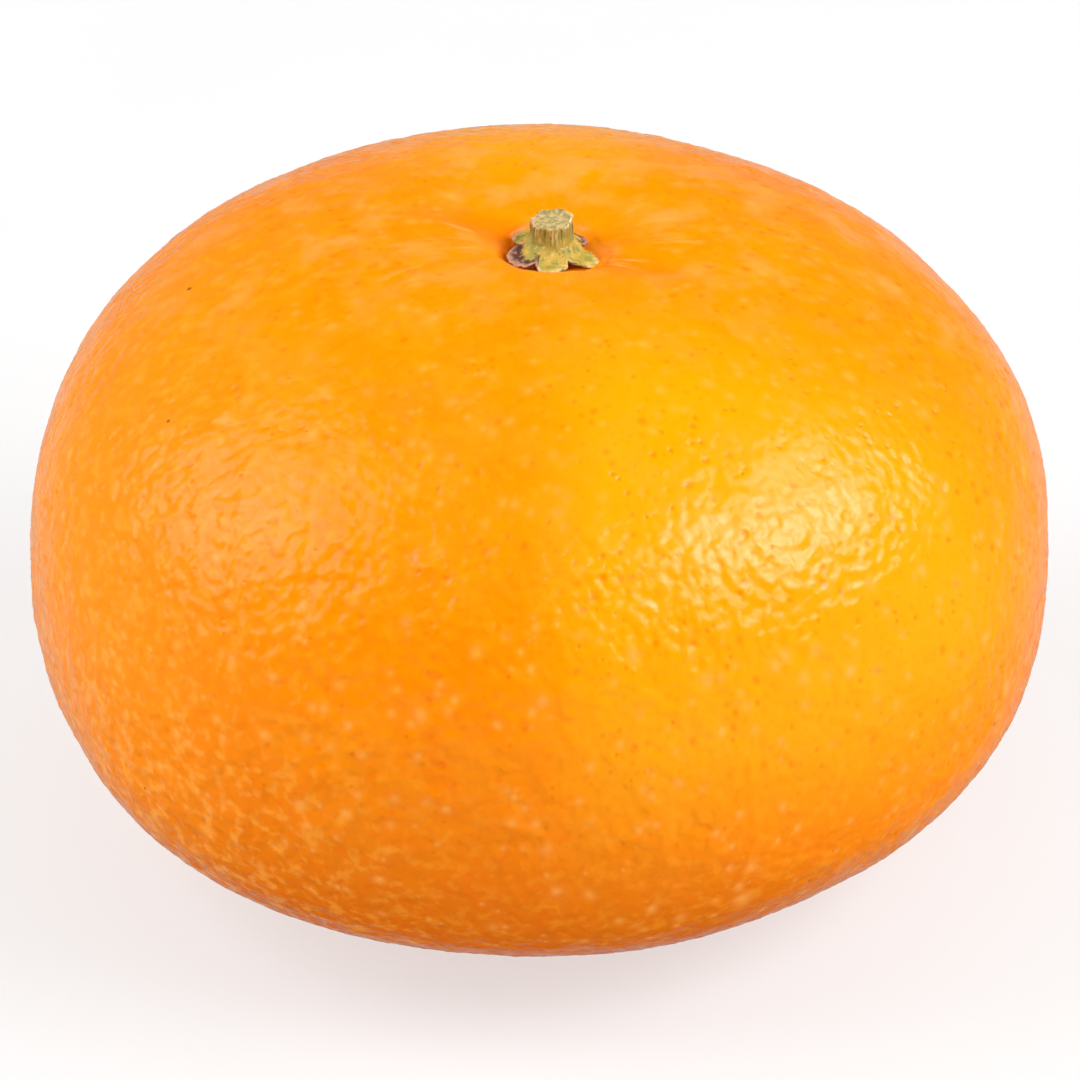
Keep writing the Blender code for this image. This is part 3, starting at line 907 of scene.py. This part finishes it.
def calyx_material():
    """Dry sepal: olive and ochre, cream at the edges, purple brown where it curled."""
    nodes = new_nodes("calyx")
    tone = nodes.ramp(nodes.noise(0.00075, 3.0), 0.35, 0.65)
    colour = nodes.mix(tone, *SEPAL_TONES)
    fleck = nodes.ramp(nodes.noise(0.00030, 2.0), 0.52, 0.70, 0.0, 0.65)
    colour = nodes.mix(fleck, colour, SEPAL_FLECK)
    shade = nodes.ramp(nodes.noise(0.00036, 3.0), 0.54, 0.68, 0.0, 0.65)
    colour = nodes.mix(shade, colour, SEPAL_SHADE)
    edge = nodes.value("pale")
    cream = nodes.times(edge, nodes.ramp(nodes.noise(0.0006, 2.0), 0.42, 0.60, 0.0, 0.8))
    colour = nodes.mix(cream, colour, SEPAL_EDGE)
    singed = nodes.ramp(nodes.noise(0.0005, 2.0, 0.5, nodes.turned(1.1, 0.2, 0.6)), 0.50, 0.60)
    singed = nodes.times(singed, nodes.ramp(edge, 0.55, 1.0, 0.0, 0.85))
    colour = nodes.mix(singed, colour, SEPAL_SINGED)
    mottle = nodes.ramp(nodes.noise(0.00030, 3.0), 0.48, 0.70)
    brown = nodes.mix(mottle, *SEPAL_BROWNS)
    brown = nodes.mix(nodes.times(edge, 0.75), brown, SEPAL_BROWN_EDGE)
    dry = nodes.plus(nodes.value("dry"), nodes.math("SUBTRACT", nodes.noise(0.0006, 3.0), 0.5))
    colour = nodes.mix(nodes.ramp(dry, 0.35, 0.60), colour, brown)
    normal = nodes.bump(nodes.noise(0.00022, 4.0, 0.6), CALYX_BUMP)
    nodes.set(Specular_IOR_Level=DRY_SPECULAR)
    return nodes.finish(colour, nodes.ramp(tone, 0.0, 1.0, *CALYX_ROUGHNESS), normal)


def stem_side(nodes, button, tone, along):
    """Fibres in olive, cream and dark lines, darker on the right and at the left edge, leafy at the foot."""
    across, _, level = button
    foot = level + STEM_FOOT
    colour = nodes.mix(tone, *STEM_TONES)
    cream = nodes.ramp(nodes.noise(0.00026, 2.0, 0.5, along), 0.55, 0.70, 0.0, 0.75)
    colour = nodes.mix(cream, colour, STEM_CREAM)
    dark = nodes.ramp(nodes.noise(0.00022, 3.0, 0.5, nodes.stretch((1, 1.1, 0.13))), 0.53, 0.63)
    dark = nodes.times(dark, nodes.along("X", across - 0.0002, across + 0.0007, 0.60, 0.95))
    colour = nodes.mix(dark, colour, STEM_DARK)
    left_edge = nodes.along("X", across - 0.00155, across - 0.00115, 0.75, 0.0)
    colour = nodes.mix(left_edge, colour, STEM_LEFT_EDGE)
    leafy = nodes.mix(nodes.ramp(nodes.noise(0.00060, 3.0), 0.4, 0.6), *STEM_FOOT_TONES)
    return nodes.mix(nodes.along("Z", foot + 0.0002, foot + 0.0011, 0.85, 0.0), colour, leafy)


def stem_material(button):
    """Woody green stub with a paler cut face, and a pale dry rim at the sides of the cut."""
    nodes = new_nodes("stem")
    along = nodes.stretch((1, 1, 0.16))
    tone = nodes.ramp(nodes.noise(0.0007, 3.0), 0.35, 0.65)
    colour = stem_side(nodes, button, tone, along)
    face = nodes.mix(nodes.ramp(nodes.noise(0.00032, 3.0), 0.38, 0.62), *STEM_CUT_TONES)
    green = nodes.ramp(nodes.noise(0.0006, 1.0), 0.50, 0.62, 0.0, 0.20)
    face = nodes.mix(green, face, STEM_CUT_GREEN)
    colour = nodes.mix(nodes.value("cut"), colour, face)
    rim = nodes.mix(nodes.along("X", button[0] - 0.0008, button[0] + 0.0008), *STEM_RIM_TONES)
    broken = nodes.ramp(nodes.noise(0.00050, 2.0), 0.36, 0.54)
    pale = nodes.ramp(nodes.value("edge"), 0.15, 0.80)
    colour = nodes.mix(nodes.times(pale, broken), colour, rim)
    normal = nodes.bump(nodes.noise(0.00016, 3.0, 0.6, along), STEM_BUMP)
    nodes.set(Specular_IOR_Level=DRY_SPECULAR)
    return nodes.finish(colour, nodes.ramp(tone, 0.0, 1.0, *STEM_ROUGHNESS), normal)


def place_camera():
    """Looks along +Y from the front, down on the fruit, as the photograph does."""
    middle = Vector((0, 0, SEAT_DEPTH))
    back = Vector((0, -math.cos(VIEW_RISE), math.sin(VIEW_RISE)))
    up = Vector((0, math.sin(VIEW_RISE), math.cos(VIEW_RISE)))
    aside = (FRAME_PIXELS / 2 - MIDDLE_COLUMN) / PIXELS_PER_METRE
    above = (MIDDLE_ROW - FRAME_PIXELS / 2) / PIXELS_PER_METRE
    camera = bpy.data.objects.new("camera", bpy.data.cameras.new("camera"))
    camera.data.sensor_width = SENSOR * 1000
    camera.data.lens = SENSOR * 1000 * VIEW_DISTANCE * PIXELS_PER_METRE / FRAME_PIXELS
    camera.data.clip_start = 0.01
    turned = Matrix((Vector((1, 0, 0)), up, back)).transposed().to_4x4()
    place = middle + back * VIEW_DISTANCE + up * above + Vector((aside, 0, 0))
    camera.matrix_world = Matrix.Translation(place) @ turned
    bpy.context.scene.collection.objects.link(camera)
    bpy.context.scene.camera = camera


def add_softbox(name, bearing, rise, width, height, power, sheen):
    """A flat soft lamp that faces the fruit. Bearing 0 is straight in front, positive to the right.

    A lamp for the sheen lights only what is glossy, and the others light only what is matt.
    """
    lamp = bpy.data.lights.new(name, "AREA")
    lamp.shape = "RECTANGLE"
    lamp.size = width
    lamp.size_y = height
    lamp.energy = power
    thing = bpy.data.objects.new(name, lamp)
    middle = Vector((0, 0, SEAT_DEPTH))
    way = Vector((math.sin(bearing) * math.cos(rise), -math.cos(bearing) * math.cos(rise), math.sin(rise)))
    thing.visible_glossy = sheen
    thing.visible_diffuse = not sheen
    thing.location = middle + way * SOFTBOX_DISTANCE
    thing.rotation_euler = way.to_track_quat("Z", "Y").to_euler()
    bpy.context.scene.collection.objects.link(thing)


def make_world():
    """Dark flags all round, and a pale wall over a pale ground behind the fruit."""
    world = bpy.data.worlds.new("studio")
    nodes = Nodes(world, "Generated")
    wall = nodes.along("Z", 0.0, WALL_TOP, WALL_LIGHT, 0.0)
    ground = nodes.along("Z", GROUND_END, 0.0, GROUND_LIGHT, 0.0)
    glow = nodes.times(nodes.along("Y", WALL_START, WALL_END), nodes.plus(wall, ground))
    background = nodes.tree.nodes["Background"]
    background.inputs["Color"].default_value = (1, 1, 1, 1)
    nodes.put(background.inputs["Strength"], nodes.plus(glow, FLAG_LIGHT))
    bpy.context.scene.world = world
    bpy.context.scene.view_settings.view_transform = "Standard"


def light_scene():
    """An even soft fill from a white ceiling, and a big softbox high up on each side."""
    fill = bpy.data.lights.new("ceiling", "SUN")
    fill.energy = FILL_LIGHT
    fill.angle = math.pi
    fill.cycles.use_multiple_importance_sampling = False
    ceiling = bpy.data.objects.new("ceiling", fill)
    ceiling.visible_glossy = False
    bpy.context.scene.collection.objects.link(ceiling)
    for name, bearing, rise, width, height, power in SOFTBOXES:
        way = math.radians(bearing), math.radians(rise)
        add_softbox(name, *way, width, height, power, False)
        for size, share in zip(SHEEN_SIZES, SHEEN_SHARES):
            add_softbox(name + " sheen", *way, width * size, height * size, power * share * SHEEN_GAIN, True)


def make_floor():
    corners = [(-1, -1), (1, -1), (1, 1), (-1, 1)]
    floor = make_object("floor", [(x * FLOOR_SIZE, y * FLOOR_SIZE, 0) for x, y in corners], [(0, 1, 2, 3)])
    nodes = new_nodes("floor")
    tone = nodes.ramp(nodes.noise(0.05, 2.0), 0.2, 0.8, *FLOOR_TONES)
    colour = nodes.mix(tone, (0, 0, 0, 1), (1, 1, 1, 1))
    nodes.set(Emission_Color=(1, 1, 1, 1), Emission_Strength=FLOOR_GLOW)
    normal = nodes.bump(nodes.noise(FLOOR_GRAIN), FLOOR_BUMP)
    floor.data.materials.append(nodes.finish(colour, FLOOR_ROUGHNESS, normal))
    floor.visible_glossy = False


def add_piece(piece, material, node):
    piece.data.materials.append(material)
    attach(piece, "root")
    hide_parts(node)


peel, middle = make_peel()
button = np.array((BUTTON_X - middle[0], BUTTON_Y - middle[1], SEAT_DEPTH))
add_piece(peel, peel_material(button), "fruit")
add_piece(make_calyx(button), calyx_material(), "calyx")
add_piece(make_stem(button), stem_material(button), "stem")
place_camera()
make_world()
light_scene()
make_floor()
